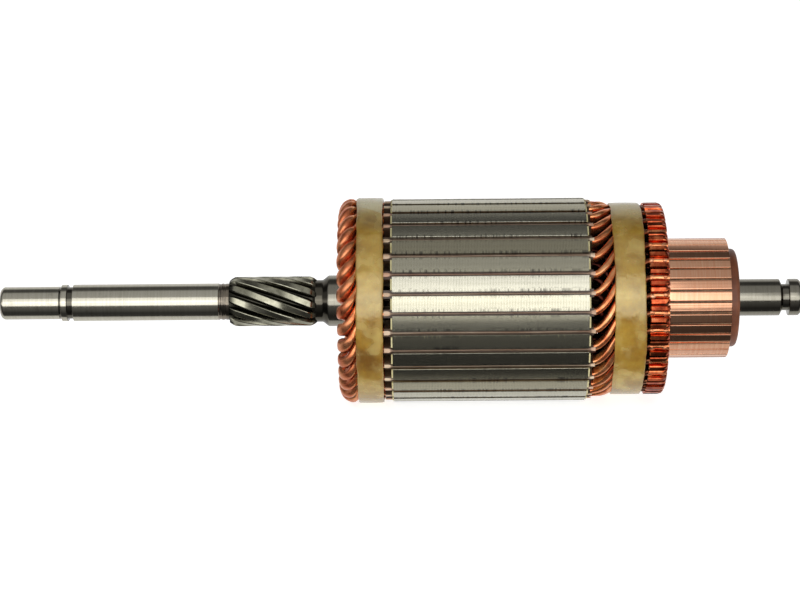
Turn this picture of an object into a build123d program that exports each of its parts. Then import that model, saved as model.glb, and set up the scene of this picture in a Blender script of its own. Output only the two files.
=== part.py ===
from build123d import *
from collections import namedtuple
import math
import os

# Armature of a starter motor, lying along X with its drive end towards minus X.
# The origin is on the shaft's axis, halfway along the laminated core. Sizes are in millimetres
# and degrees. Angles run about X, from plus Y towards plus Z, and the first slot is on top.

# Winding layout: a two-layer wave winding, one hairpin for each slot
SLOT_COUNT = 33
COIL_SPAN = 8  # slots from a hairpin's upper leg to its lower leg
COMMUTATOR_SPAN = 16  # bars between the two ends of a hairpin
BAR_PHASE = 1.75  # a bar's centre lies this far past a slot's centre

# Core
CORE_RADIUS = 34.35
CORE_LENGTH = 64.4
SLOT_OPENING = 1.4
SLOT_LIP = 0.85
DISC_THICKNESS = 0.5
DISC_STEP = 0.15  # the discs' edge lies this far below the core's surface

# Conductors and slot liners
CONDUCTOR_WIDTH = 2.2
CONDUCTOR_HEIGHT = 3.8
LAYER_GAP = 0.95  # between the two legs in a slot
LINER_THICKNESS = 0.2
LINER_OVERHANG_DRIVE = 2.3
LINER_OVERHANG_COMMUTATOR = 1.0
MOUTH_LEAD = 0.75  # from a liner's end to the conductors' first bend
WINDING_FIT = 0.05  # clearance on each side of a conductor and of a liner

# End turns at the drive end
DRIVE_SLANT_LENGTH = 9.6
DRIVE_MID_SHARE = 0.52  # of the slant's sweep, reached at half its length
NOSE_ANGLE = 8.5  # each way from the nose, in the bend itself
NOSE_RISE = 1.8  # the nose stands this far above the upper leg's level in the slot
NOSE_LEAD = 1.2  # from the band's edge to the start of that rise
NOSE_ANGLES = (20, 55, 90, 135)  # how far the bar has turned over at the nose's stations

# End turns at the commutator end
COMMUTATOR_END_LENGTH = 19.6  # from the insulating disc to the risers
COMMUTATOR_BEND = 3.0
LEG_DROP = 1.55  # from the level in the slot to the level in the riser
DROP_SHARE = 0.27  # of the slant's length, where the drop ends
STUB_LENGTH = 1.9  # straight length in front of a riser

# Bands and layer insulation
DRIVE_BAND_LENGTH = 8.8
DRIVE_BAND_SETBACK = 2.6  # from the insulating disc
DRIVE_BAND_THICKNESS = 1.55
COMMUTATOR_BAND_LENGTH = 10.2
COMMUTATOR_BAND_THICKNESS = 0.8
COMMUTATOR_BAND_SETBACK = 1.3  # from the risers
BAND_FIT = 0.12  # between a band and the conductors' tops
BAND_FLATS = 2 * SLOT_COUNT  # so many that a band looks round
LAYER_SHEET = 0.2
LAYER_FIT = 0.08

# Commutator
RISER_STEP = 0.07  # the risers' tops lie this far below the band beside them
RISER_LENGTH = 6.6
RISER_CORNER = 1.1
RISER_SLOT_FIT = 0.05
BAR_RADIUS = 20.25
BAR_ROOT_RADIUS = 14.5
BAR_LENGTH = 21.5
BAR_GAP = 0.6
MICA_UNDERCUT = 0.55
MICA_FIT = 0.02
CONDUCTOR_INSET = 0.3  # the conductors end this far inside the risers' outer face
HUB_RADIUS = 16.65
HUB_LENGTH = 3.2
HUB_CORNER = 1.2
HUB_SETBACK = 0.5  # the moulding starts this far inside the risers' front face
MOULDING_FIT = 0.03

# Shaft, from the core to the pinion end
CORE_SEAT_RADIUS = 8.7  # the bare collar beside the core has the same radius
COLLAR_BARE_LENGTH = 3.7  # from the winding's noses to the collar's edge
NECK_CONE_LENGTH = 2.0
NECK_RADIUS = 7.15
NECK_LENGTH = 2.0
SPLINE_LENGTH = 29.7
SPLINE_TEETH = 12
SPLINE_RADIUS = 8.375
SPLINE_ROOT_RADIUS = 6.9
SPLINE_LEAD = 132.0
SPLINE_PHASE = 12.0  # turn of the first tooth where the spline starts
SPLINE_TIP_WIDTH = 2.2
SPLINE_BASE_WIDTH = 2.9
SPLINE_CHAMFER_LENGTH = 1.9
SPLINE_END_STEP = 0.3  # height of the teeth at their chamfered ends
SPLINE_STEPS = 5  # flat steps that follow the helix between the chamfers
SLIDE_RADIUS = 6.25
SLIDE_LENGTH = 53.3
SNAP_GROOVE_RADIUS = 5.4
SNAP_GROOVE_LENGTH = 1.8
LAND_RADIUS = 6.24
LAND_LENGTH = 2.1
RELIEF_RADIUS = 5.1
RELIEF_LENGTH = 0.7
JOURNAL_RADIUS = 5.585
JOURNAL_LENGTH = 20.0
JOURNAL_CHAMFER = 0.9

# Shaft, from the core to the rear end
COMMUTATOR_SEAT_RADIUS = 7.45
COMMUTATOR_SEAT_LEAD = 1.5  # the seat starts this far before the risers
COMMUTATOR_SEAT_SETBACK = 0.6  # and ends this far inside the hub's face
SHAFT_FIT = 0.02  # clearance of the pressed-on pieces
REAR_JOURNAL_RADIUS = 6.25
REAR_JOURNAL_LENGTH = 15.0  # from the hub's face to the groove's sloping side
REAR_GROOVE_RADIUS = 4.5
REAR_GROOVE_SLOPE = 0.9
REAR_GROOVE_LENGTH = 2.1
REAR_HEAD_RADIUS = 6.24
REAR_HEAD_LENGTH = 4.2
REAR_HEAD_CHAMFER = 0.8

# Worked out: angles
PITCH = 360 / SLOT_COUNT
TOP = 90.0
END_SHIFT = (COMMUTATOR_SPAN - COIL_SPAN) / 2 * PITCH
UPPER_TURN = 0.0  # the bar stands upright on its upper leg
LOWER_TURN = 180.0  # and upside down on its lower leg

# Worked out: radii of the slots and conductors
SLOT_TOP = CORE_RADIUS - SLOT_LIP
LINER_TOP = SLOT_TOP - WINDING_FIT
CONDUCTOR_TOP = LINER_TOP - LINER_THICKNESS - WINDING_FIT
UPPER_RADIUS = CONDUCTOR_TOP - CONDUCTOR_HEIGHT / 2
LAYER_STEP = CONDUCTOR_HEIGHT + LAYER_GAP
LOWER_RADIUS = UPPER_RADIUS - LAYER_STEP
LINER_BOTTOM = LOWER_RADIUS - CONDUCTOR_HEIGHT / 2 - WINDING_FIT - LINER_THICKNESS
SLOT_BOTTOM = LINER_BOTTOM - WINDING_FIT
LINER_WIDTH = CONDUCTOR_WIDTH + 2 * (WINDING_FIT + LINER_THICKNESS)
SLOT_WIDTH = LINER_WIDTH + 2 * WINDING_FIT
DRIVE_BAND_BORE = CONDUCTOR_TOP + BAND_FIT
COMMUTATOR_BAND_BORE = CONDUCTOR_TOP - LEG_DROP + BAND_FIT
RISER_RADIUS = COMMUTATOR_BAND_BORE + COMMUTATOR_BAND_THICKNESS - RISER_STEP

# Worked out: places along the axis
CORE_END = CORE_LENGTH / 2
DISC_FACE = CORE_END + DISC_THICKNESS
DRIVE_CORNER = DISC_FACE + LINER_OVERHANG_DRIVE + MOUTH_LEAD
NOSE_START = DRIVE_CORNER + DRIVE_SLANT_LENGTH
NOSE_RADIUS = (LAYER_STEP + NOSE_RISE) / 2
NOSE_TIP = NOSE_START + NOSE_RADIUS + CONDUCTOR_HEIGHT / 2
DRIVE_BAND_END = DISC_FACE + DRIVE_BAND_SETBACK + DRIVE_BAND_LENGTH
COMMUTATOR_MOUTH = DISC_FACE + LINER_OVERHANG_COMMUTATOR + MOUTH_LEAD
COMMUTATOR_CORNER = COMMUTATOR_MOUTH + COMMUTATOR_BEND / 2
RISER_FACE = DISC_FACE + COMMUTATOR_END_LENGTH
STUB_START = RISER_FACE - STUB_LENGTH
RISER_END = RISER_FACE + RISER_LENGTH
BAR_END = RISER_END + BAR_LENGTH
HUB_FACE = BAR_END + HUB_LENGTH

Station = namedtuple("Station", "x angle radius turn")


def radial(angle):
    """Unit vector that points away from the axis."""
    return Vector(0, math.cos(math.radians(angle)), math.sin(math.radians(angle)))


def station_point(station):
    return Vector(station.x, 0, 0) + radial(station.angle) * station.radius


def around_axis(shape, count, phase=0.0):
    """Copies of a shape made at the top, spaced evenly about the axis."""
    step = 360 / count
    return [shape.rotate(Axis.X, phase + index * step) for index in range(count)]


def turned(points):
    """Solid of revolution from a profile of (x, radius) points."""
    outline = Polyline(*[(x, 0, radius) for x, radius in points], close=True)
    return revolve(make_face(outline), Axis.X)


def commutator_leg(angle, sweep, radius, turn):
    """Stations from the slot's mouth to the conductor's end in its riser."""
    slant = STUB_START - COMMUTATOR_CORNER
    riser_radius = radius - LEG_DROP

    def slanted(x, level):
        share = (x - COMMUTATOR_CORNER) / slant
        return Station(x, angle + sweep * share, level, turn)

    drop_end = COMMUTATOR_CORNER + slant * DROP_SHARE
    return [
        Station(COMMUTATOR_MOUTH, angle, radius, turn),
        slanted(COMMUTATOR_CORNER + COMMUTATOR_BEND / 2, radius),
        slanted(drop_end, riser_radius),
        slanted((drop_end + STUB_START) / 2, riser_radius),
        slanted(STUB_START, riser_radius),
        Station(RISER_END - CONDUCTOR_INSET, angle + sweep, riser_radius, turn),
    ]


def drive_leg(angle, direction, radius, end, turn):
    """Stations from the bend out of the slot to the nose."""
    sweep = COIL_SPAN / 2 * PITCH - NOSE_ANGLE
    middle = DRIVE_CORNER + DRIVE_SLANT_LENGTH / 2
    middle_sweep = sweep * DRIVE_MID_SHARE
    end_sweep = middle_sweep + (sweep - middle_sweep) * (end - middle) / (NOSE_START - middle)
    return [
        Station(-DRIVE_CORNER, angle, radius, turn),
        Station(-middle, angle + direction * middle_sweep, radius, turn),
        Station(-end, angle + direction * end_sweep, radius, turn),
    ]


def nose(angle):
    """Stations of the bulging bend that joins the two legs."""
    middle_radius = (UPPER_RADIUS + NOSE_RISE + LOWER_RADIUS) / 2
    stations = []
    for turn in NOSE_ANGLES:
        depth = math.sin(math.radians(turn))
        height = math.cos(math.radians(turn))
        side = math.copysign(NOSE_ANGLE * (1 - depth), -height)
        level = middle_radius + NOSE_RADIUS * height
        stations.append(Station(-NOSE_START - NOSE_RADIUS * depth, angle + side, level, turn))
    return stations


def hairpin_route(angle):
    """All stations of a hairpin whose upper leg lies at the given angle."""
    lower_angle = angle + COIL_SPAN * PITCH
    upper_end = commutator_leg(angle, BAR_PHASE - END_SHIFT, UPPER_RADIUS, UPPER_TURN)
    lower_end = commutator_leg(lower_angle, BAR_PHASE + END_SHIFT, LOWER_RADIUS, LOWER_TURN)
    band_lead = DRIVE_BAND_END + NOSE_LEAD
    upper_turn = drive_leg(angle, 1, UPPER_RADIUS, band_lead, UPPER_TURN)
    lower_turn = drive_leg(lower_angle, -1, LOWER_RADIUS, NOSE_START, LOWER_TURN)
    crown = nose(angle + COIL_SPAN / 2 * PITCH)
    return upper_end[::-1] + upper_turn + crown + lower_turn[::-1] + lower_end


def section_corners(stations, index):
    """Corners of the flat bar's section, standing radially on the legs and mitred in the bends."""
    station = stations[index]
    here = station_point(station)
    before = station_point(stations[max(index - 1, 0)])
    after = station_point(stations[min(index + 1, len(stations) - 1)])
    arriving = here - before if index else after - here
    leaving = after - here if index < len(stations) - 1 else arriving
    away = radial(station.angle)
    on_leg = station.turn in (UPPER_TURN, LOWER_TURN)
    if on_leg:
        arriving -= away * arriving.dot(away)
        leaving -= away * leaving.dot(away)
    arriving = arriving.normalized()
    leaving = leaving.normalized()
    along = (arriving + leaving).normalized()
    mitre = math.sqrt(2 / (1 + arriving.dot(leaving))) if on_leg else 1
    turn = math.radians(station.turn)
    outward = away * math.cos(turn) - Vector(1, 0, 0) * math.sin(turn)
    across = outward.cross(along).normalized()
    half_width = across * (CONDUCTOR_WIDTH / 2 * mitre)
    half_height = along.cross(across) * (CONDUCTOR_HEIGHT / 2)
    return [
        here - half_width - half_height,
        here + half_width - half_height,
        here + half_width + half_height,
        here - half_width + half_height,
    ]


def skin(sections):
    """Solid through a row of like polygons, each side folded along its diagonal to stay flat."""
    facets = [Face(Wire.make_polygon(sections[0])), Face(Wire.make_polygon(sections[-1]))]
    corners = len(sections[0])
    for first, second in zip(sections, sections[1:]):
        for side in range(corners):
            following = (side + 1) % corners
            facets.append(Face(Wire.make_polygon([first[side], first[following], second[following]])))
            facets.append(Face(Wire.make_polygon([first[side], second[following], second[side]])))
    return Solid(Shell(facets))


def make_hairpin():
    route = hairpin_route(TOP)
    return skin([section_corners(route, index) for index in range(len(route))])


def slot_mouths(width, depth, radius):
    """Rectangles that reach inwards from a radius, one at each slot."""
    middle = radius - depth / 2
    places = PolarLocations(middle, SLOT_COUNT, start_angle=TOP)
    return [place * Rectangle(depth, width) for place in places]


def make_lamination_stack():
    slot_depth = SLOT_TOP - SLOT_BOTTOM
    sheet = Circle(CORE_RADIUS) - Circle(CORE_SEAT_RADIUS + SHAFT_FIT)
    sheet -= slot_mouths(SLOT_WIDTH, slot_depth, SLOT_TOP)
    sheet -= slot_mouths(SLOT_OPENING, 2 * SLOT_LIP, CORE_RADIUS + SLOT_LIP / 2)
    return extrude(Plane.YZ.offset(-CORE_END) * sheet, CORE_LENGTH)


def make_insulating_disc(start):
    """Fibre disc with open notches at the slots and a straight edge on each tooth."""
    outline = RegularPolygon(CORE_RADIUS - DISC_STEP, SLOT_COUNT, rotation=TOP)
    ring = outline - Circle(CORE_SEAT_RADIUS + SHAFT_FIT)
    ring -= slot_mouths(SLOT_WIDTH, CORE_RADIUS - SLOT_BOTTOM, CORE_RADIUS)
    return extrude(Plane.YZ.offset(start) * ring, DISC_THICKNESS)


def make_slot_liner():
    """Paper tube of one slot, at the top."""
    height = LINER_TOP - LINER_BOTTOM
    wall = 2 * LINER_THICKNESS
    tube = Rectangle(LINER_WIDTH, height) - Rectangle(LINER_WIDTH - wall, height - wall)
    start = -DISC_FACE - LINER_OVERHANG_DRIVE
    length = 2 * DISC_FACE + LINER_OVERHANG_DRIVE + LINER_OVERHANG_COMMUTATOR
    lifted = Plane.YZ.offset(start) * Pos(0, (LINER_TOP + LINER_BOTTOM) / 2) * tube
    return extrude(lifted, length)


def make_band(start, length, bore, thickness):
    """Ring of resin and glass tape wound on the upper legs."""
    section = RegularPolygon(bore + thickness, BAND_FLATS, major_radius=False)
    section -= RegularPolygon(bore, BAND_FLATS, major_radius=False)
    return extrude(Plane.YZ.offset(start) * section, length)


def make_layer_insulation(start, length, lower_top):
    """Strip wrapped on the lower legs, which lies in flats from leg to leg."""
    inner = lower_top + LAYER_FIT
    outline = RegularPolygon(inner + LAYER_SHEET, SLOT_COUNT, major_radius=False)
    outline -= RegularPolygon(inner, SLOT_COUNT, major_radius=False)
    return extrude(Plane.YZ.offset(start) * outline, length)


def bar_sector(radius):
    """Section of the metal between two gaps, at the top, flat at its outer end."""
    tilt = math.radians(PITCH / 2)
    half_gap = BAR_GAP / 2 / math.cos(tilt)
    half_root = BAR_ROOT_RADIUS * math.tan(tilt) - half_gap
    half_top = radius * math.tan(tilt) - half_gap
    outline = Polyline(
        (-half_root, BAR_ROOT_RADIUS),
        (half_root, BAR_ROOT_RADIUS),
        (half_top, radius),
        (-half_top, radius),
        close=True,
    )
    return make_face(outline)


def make_commutator_bar():
    """Copper segment with its slotted riser, at the top."""
    slot_bottom = LOWER_RADIUS - LEG_DROP - CONDUCTOR_HEIGHT / 2 - RISER_SLOT_FIT
    slot_width = CONDUCTOR_WIDTH + 2 * RISER_SLOT_FIT
    slot = Pos(0, RISER_RADIUS) * Rectangle(slot_width, 2 * (RISER_RADIUS - slot_bottom))
    riser = extrude(Plane.YZ.offset(RISER_FACE) * (bar_sector(RISER_RADIUS) - slot), RISER_LENGTH)
    rims = riser.edges().group_by(Axis.X)[-1].filter_by(Axis.Y).group_by(Axis.Z)[-1]
    riser = chamfer(rims, RISER_CORNER)
    track = bar_sector(RISER_RADIUS) & Circle(BAR_RADIUS)
    return riser + extrude(Plane.YZ.offset(RISER_END) * track, BAR_LENGTH)


def make_mica_segment():
    """Insulating plate between two bars, at the top."""
    top = BAR_RADIUS - MICA_UNDERCUT
    plate = Box(BAR_END - RISER_FACE, BAR_GAP - 2 * MICA_FIT, top - BAR_ROOT_RADIUS)
    return Pos((RISER_FACE + BAR_END) / 2, 0, (top + BAR_ROOT_RADIUS) / 2) * plate


def make_commutator_moulding():
    bore = COMMUTATOR_SEAT_RADIUS + SHAFT_FIT
    core = BAR_ROOT_RADIUS - MOULDING_FIT
    flange_start = BAR_END + MOULDING_FIT
    start = RISER_FACE + HUB_SETBACK
    return turned([
        (start, bore),
        (start, core),
        (flange_start, core),
        (flange_start, HUB_RADIUS),
        (HUB_FACE - HUB_CORNER, HUB_RADIUS),
        (HUB_FACE, HUB_RADIUS - HUB_CORNER),
        (HUB_FACE, bore),
    ])


def spline_section(x, twist, tip_radius):
    """Outline of all teeth, with their tips cut down to the given radius."""
    share = (tip_radius - SPLINE_ROOT_RADIUS) / (SPLINE_RADIUS - SPLINE_ROOT_RADIUS)
    half_base = SPLINE_BASE_WIDTH / 2
    half_tip = half_base + (SPLINE_TIP_WIDTH / 2 - half_base) * share
    base = math.sqrt(SPLINE_ROOT_RADIUS ** 2 - half_base ** 2)
    middle = Vector(x, 0, 0)
    corners = []
    for tooth in range(SPLINE_TEETH):
        angle = twist + 360 / SPLINE_TEETH * tooth
        up = radial(angle)
        side = radial(angle + 90)
        corners += [
            middle + up * base - side * half_base,
            middle + up * tip_radius - side * half_tip,
            middle + up * tip_radius + side * half_tip,
            middle + up * base + side * half_base,
        ]
    return corners


def make_spline(start):
    """Right-hand helical teeth on their root, chamfered at both ends."""
    end = start + SPLINE_LENGTH
    full_start = start + SPLINE_CHAMFER_LENGTH
    full_length = SPLINE_LENGTH - 2 * SPLINE_CHAMFER_LENGTH
    low = SPLINE_ROOT_RADIUS + SPLINE_END_STEP
    levels = [(start, low)]
    for step in range(SPLINE_STEPS + 1):
        levels.append((full_start + full_length * step / SPLINE_STEPS, SPLINE_RADIUS))
    levels.append((end, low))
    sections = []
    for x, tip_radius in levels:
        twist = SPLINE_PHASE + 360 * (x - start) / SPLINE_LEAD
        sections.append(spline_section(x, twist, tip_radius))
    return skin(sections)


def make_shaft():
    collar_edge = -NOSE_TIP - COLLAR_BARE_LENGTH
    cone_end = collar_edge - NECK_CONE_LENGTH
    neck_end = cone_end - NECK_LENGTH
    spline_start = neck_end - SPLINE_LENGTH
    slide_end = spline_start - SLIDE_LENGTH
    land_start = slide_end - SNAP_GROOVE_LENGTH
    land_end = land_start - LAND_LENGTH
    journal_start = land_end - RELIEF_LENGTH
    tip = journal_start - JOURNAL_LENGTH
    seat_start = RISER_FACE - COMMUTATOR_SEAT_LEAD
    seat_end = HUB_FACE - COMMUTATOR_SEAT_SETBACK
    slope_start = HUB_FACE + REAR_JOURNAL_LENGTH
    groove_start = slope_start + REAR_GROOVE_SLOPE
    head_start = groove_start + REAR_GROOVE_LENGTH
    rear_end = head_start + REAR_HEAD_LENGTH
    body = turned([
        (tip, 0),
        (tip, JOURNAL_RADIUS - JOURNAL_CHAMFER),
        (tip + JOURNAL_CHAMFER, JOURNAL_RADIUS),
        (journal_start, JOURNAL_RADIUS),
        (journal_start, RELIEF_RADIUS),
        (land_end, RELIEF_RADIUS),
        (land_end, LAND_RADIUS),
        (land_start, LAND_RADIUS),
        (land_start, SNAP_GROOVE_RADIUS),
        (slide_end, SNAP_GROOVE_RADIUS),
        (slide_end, SLIDE_RADIUS),
        (neck_end, SLIDE_RADIUS),
        (neck_end, NECK_RADIUS),
        (cone_end, NECK_RADIUS),
        (collar_edge, CORE_SEAT_RADIUS),
        (seat_start, CORE_SEAT_RADIUS),
        (seat_start, COMMUTATOR_SEAT_RADIUS),
        (seat_end, COMMUTATOR_SEAT_RADIUS),
        (seat_end, REAR_JOURNAL_RADIUS),
        (slope_start, REAR_JOURNAL_RADIUS),
        (groove_start, REAR_GROOVE_RADIUS),
        (head_start, REAR_GROOVE_RADIUS),
        (head_start, REAR_HEAD_RADIUS),
        (rear_end - REAR_HEAD_CHAMFER, REAR_HEAD_RADIUS),
        (rear_end, REAR_HEAD_RADIUS - REAR_HEAD_CHAMFER),
        (rear_end, 0),
    ])
    return body + make_spline(spline_start)


def export_part(name, shape):
    export_step(shape, f"parts/{name}.step")


def export_group(name, solids):
    export_part(name, Compound(children=solids))


def main():
    os.makedirs("parts", exist_ok=True)
    export_part("shaft", make_shaft())
    export_part("lamination_stack", make_lamination_stack())
    export_part("drive_end_insulating_disc", make_insulating_disc(-DISC_FACE))
    export_part("commutator_end_insulating_disc", make_insulating_disc(CORE_END))
    export_group("slot_liners", around_axis(make_slot_liner(), SLOT_COUNT))
    for number, hairpin in enumerate(around_axis(make_hairpin(), SLOT_COUNT), start=1):
        export_part(f"hairpin_{number:02d}", hairpin)
    lower_top = LOWER_RADIUS + CONDUCTOR_HEIGHT / 2
    drive_start = DRIVE_CORNER + CONDUCTOR_WIDTH
    export_part(
        "drive_end_layer_insulation",
        make_layer_insulation(-DRIVE_BAND_END, DRIVE_BAND_END - drive_start, lower_top),
    )
    band_end = RISER_FACE - COMMUTATOR_BAND_SETBACK
    band_start = band_end - COMMUTATOR_BAND_LENGTH
    export_part(
        "commutator_end_layer_insulation",
        make_layer_insulation(band_start, STUB_START - band_start, lower_top - LEG_DROP),
    )
    export_part(
        "drive_end_band",
        make_band(-DRIVE_BAND_END, DRIVE_BAND_LENGTH, DRIVE_BAND_BORE, DRIVE_BAND_THICKNESS),
    )
    export_part(
        "commutator_end_band",
        make_band(
            band_start, COMMUTATOR_BAND_LENGTH, COMMUTATOR_BAND_BORE, COMMUTATOR_BAND_THICKNESS
        ),
    )
    export_group("commutator_bars", around_axis(make_commutator_bar(), SLOT_COUNT, BAR_PHASE))
    mica_phase = BAR_PHASE + PITCH / 2
    export_group("commutator_mica", around_axis(make_mica_segment(), SLOT_COUNT, mica_phase))
    export_part("commutator_moulding", make_commutator_moulding())


main()
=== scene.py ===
import math
import random

import bpy
from mathutils import Matrix, Vector


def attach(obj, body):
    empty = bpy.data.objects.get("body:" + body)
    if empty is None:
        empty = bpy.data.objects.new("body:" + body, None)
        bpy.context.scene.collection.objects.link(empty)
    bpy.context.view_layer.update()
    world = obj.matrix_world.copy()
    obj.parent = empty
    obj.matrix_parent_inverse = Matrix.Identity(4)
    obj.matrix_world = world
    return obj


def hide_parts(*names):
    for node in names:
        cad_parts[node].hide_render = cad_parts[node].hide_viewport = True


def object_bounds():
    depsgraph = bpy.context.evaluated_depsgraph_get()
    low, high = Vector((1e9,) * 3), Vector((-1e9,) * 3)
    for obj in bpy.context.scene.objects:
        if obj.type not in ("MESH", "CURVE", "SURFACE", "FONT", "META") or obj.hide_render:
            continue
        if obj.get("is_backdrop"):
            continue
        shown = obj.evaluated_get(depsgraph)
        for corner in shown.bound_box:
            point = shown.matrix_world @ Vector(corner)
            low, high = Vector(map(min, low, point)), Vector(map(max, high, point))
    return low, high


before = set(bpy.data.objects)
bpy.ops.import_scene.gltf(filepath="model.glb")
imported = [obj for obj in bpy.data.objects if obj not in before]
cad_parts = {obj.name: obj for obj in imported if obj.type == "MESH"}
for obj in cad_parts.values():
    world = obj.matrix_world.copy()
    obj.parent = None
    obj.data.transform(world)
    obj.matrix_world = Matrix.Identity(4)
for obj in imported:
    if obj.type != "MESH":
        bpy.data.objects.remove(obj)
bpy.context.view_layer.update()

# A motor armature, lying along X. The pieces are worked out in millimetres and made in metres.
# Angles run about X, from plus Y towards plus Z, and the first slot is on top.
MM = 0.001
SLOTS = 33
PITCH = 360 / SLOTS
TOP = 90.0
random.seed(33)

# Sizes of the frame that the pieces follow
CORE_RADIUS = 34.35
CORE_END = 32.2
SLOT_OPENING = 1.4
LINER_TOP = 33.45
DISC_FACE = 32.7
BAR_WIDTH = 2.2
BAR_HEIGHT = 3.8
UPPER_RADIUS = 31.3
LOWER_RADIUS = 26.55
COIL_SWEEP = 4 * PITCH
BAR_PHASE = 1.75
UPPER_SWEEP = BAR_PHASE - COIL_SWEEP
LOWER_SWEEP = BAR_PHASE + COIL_SWEEP
DRIVE_CORNER = 35.75
NOSE_START = 45.35
NOSE_RISE = 1.8
COMMUTATOR_MOUTH = 34.45
COMMUTATOR_CORNER = 35.95
RISER_FACE = 52.3
RISER_END = 58.9
STUB_START = 50.4
LEG_DROP = 1.55
CONDUCTOR_END = 58.6
RISER_RADIUS = 32.5
BAR_RADIUS = 20.25
BAR_ROOT = 14.5
BAR_END = 80.4
BAR_GAP = 0.6
HUB_BORE = 7.47
HUB_SEAT = 14.47
HUB_RADIUS = 16.65
HUB_FACE = 83.6
DRIVE_BAND = (-44.1, -35.3)
COMMUTATOR_BAND = (40.8, 51.0)


# Meshes

def radial(angle):
    turn = math.radians(angle)
    return Vector((0.0, math.cos(turn), math.sin(turn)))


def make_piece(name, points, faces, material, nodes=(), crease=35.0):
    """A mesh object from points in millimetres, with smooth shading up to the crease angle."""
    mesh = bpy.data.meshes.new(name)
    mesh.from_pydata([[value * MM for value in point] for point in points], [], faces)
    mesh.validate()
    mesh.shade_smooth()
    mesh.set_sharp_from_angle(angle=math.radians(crease))
    mesh.materials.append(material)
    piece = bpy.data.objects.new(name, mesh)
    bpy.context.scene.collection.objects.link(piece)
    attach(piece, "root")
    if nodes:
        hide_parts(*nodes)
    return piece


class Builder:
    """Gathers the points and faces of one piece."""

    def __init__(self):
        self.points = []
        self.faces = []

    def ring(self, points):
        start = len(self.points)
        self.points.extend(points)
        return list(range(start, len(self.points)))

    def bridge(self, first, second, closed=True):
        count = len(first)
        for index in range(count if closed else count - 1):
            after = (index + 1) % count
            self.faces.append((first[index], first[after], second[after], second[index]))

    def sweep(self, sections):
        """Joins the sections into a closed bar."""
        rings = [self.ring(section) for section in sections]
        for first, second in zip(rings, rings[1:]):
            self.bridge(first, second)
        self.faces.append(tuple(reversed(rings[0])))
        self.faces.append(tuple(rings[-1]))


def rounded_profile(corners, steps=4):
    """Points of an open profile of (x, radius, fillet) corners, with its fillets drawn out."""
    points = []
    for index, (x, y, fillet) in enumerate(corners):
        if not fillet or index in (0, len(corners) - 1):
            points.append((x, y))
            continue
        here = Vector((x, y))
        before = Vector(corners[index - 1][:2]) - here
        after = Vector(corners[index + 1][:2]) - here
        reach = min(fillet, before.length * 0.49, after.length * 0.49)
        first = here + before.normalized() * reach
        last = here + after.normalized() * reach
        for step in range(steps + 1):
            share = step / steps
            point = first * (1 - share) ** 2 + here * 2 * share * (1 - share) + last * share ** 2
            points.append((point.x, point.y))
    return points


def lathe(builder, profile, segments=96, wobble=None):
    """Surface of revolution. A profile point on the axis closes it with a fan."""
    rings = []
    for x, radius in profile:
        if radius < 1e-6:
            rings.append(builder.ring([Vector((x, 0, 0))]))
            continue
        ring = []
        for index in range(segments):
            angle = 360 * index / segments
            place = Vector((x, 0, 0)) + radial(angle) * radius
            if wobble:
                place += wobble(x, angle, radius)
            ring.append(place)
        rings.append(builder.ring(ring))
    for first, second in zip(rings, rings[1:]):
        if len(first) == 1:
            for index in range(segments):
                builder.faces.append((first[0], second[(index + 1) % segments], second[index]))
        elif len(second) == 1:
            for index in range(segments):
                builder.faces.append((first[index], first[(index + 1) % segments], second[0]))
        else:
            builder.bridge(first, second)
    return rings


def rounded_rectangle(width, height, corner, steps=2):
    """Corner points of a rectangle with rounded corners, about its middle."""
    points = []
    for index, (side, up) in enumerate(((1, 1), (-1, 1), (-1, -1), (1, -1))):
        middle = Vector((side * (width / 2 - corner), up * (height / 2 - corner)))
        for step in range(steps + 1):
            turn = math.radians(90 * (index + step / steps))
            points.append(middle + Vector((math.cos(turn), math.sin(turn))) * corner)
    return points


# Winding

def curve_through(stations, steps):
    """Smooth curve through stations of (x, arc, radius, turn), with its steps to each next station."""
    rows = []
    last = len(stations) - 1
    for index in range(last):
        p0 = stations[max(index - 1, 0)]
        p1 = stations[index]
        p2 = stations[index + 1]
        p3 = stations[min(index + 2, last)]
        count = steps[index]
        span = max(math.dist(p1[:3], p2[:3]), 1e-6)
        lead = max(math.dist(p0[:3], p1[:3]), 1e-6) if index else span
        tail = max(math.dist(p2[:3], p3[:3]), 1e-6) if index + 2 <= last else span
        for step in range(count):
            t = step / count
            row = []
            for a, b, c, d in zip(p0, p1, p2, p3):
                slope_in = ((b - a) / lead * span + (c - b) / span * lead) / (lead + span) * span
                slope_out = ((c - b) / span * tail + (d - c) / tail * span) / (span + tail) * span
                if index == 0:
                    slope_in = c - b
                if index + 2 > last:
                    slope_out = c - b
                row.append(
                    (2 * t ** 3 - 3 * t ** 2 + 1) * b
                    + (t ** 3 - 2 * t ** 2 + t) * slope_in
                    + (3 * t ** 2 - 2 * t ** 3) * c
                    + (t ** 3 - t ** 2) * slope_out
                )
            rows.append(row)
    rows.append(list(stations[-1]))
    return rows


def commutator_end_leg(angle, sweep, radius, turn):
    """Stations from the slot's mouth to the conductor's end in its riser."""
    low = radius - LEG_DROP
    slant = STUB_START - COMMUTATOR_CORNER

    def at(share, level):
        return (COMMUTATOR_CORNER + slant * share, angle + sweep * share, level, turn)

    return [
        (COMMUTATOR_MOUTH - 1.2, angle, radius, turn),
        (COMMUTATOR_MOUTH, angle + sweep * 0.004, radius, turn),
        at(0.11, radius - LEG_DROP * 0.06),
        at(0.34, low + LEG_DROP * 0.12),
        at(0.62, low),
        at(0.9, low),
        (STUB_START + 0.7, angle + sweep * 0.985, low, turn),
        (RISER_FACE, angle + sweep, low, turn),
        (CONDUCTOR_END, angle + sweep, low, turn),
    ]


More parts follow.
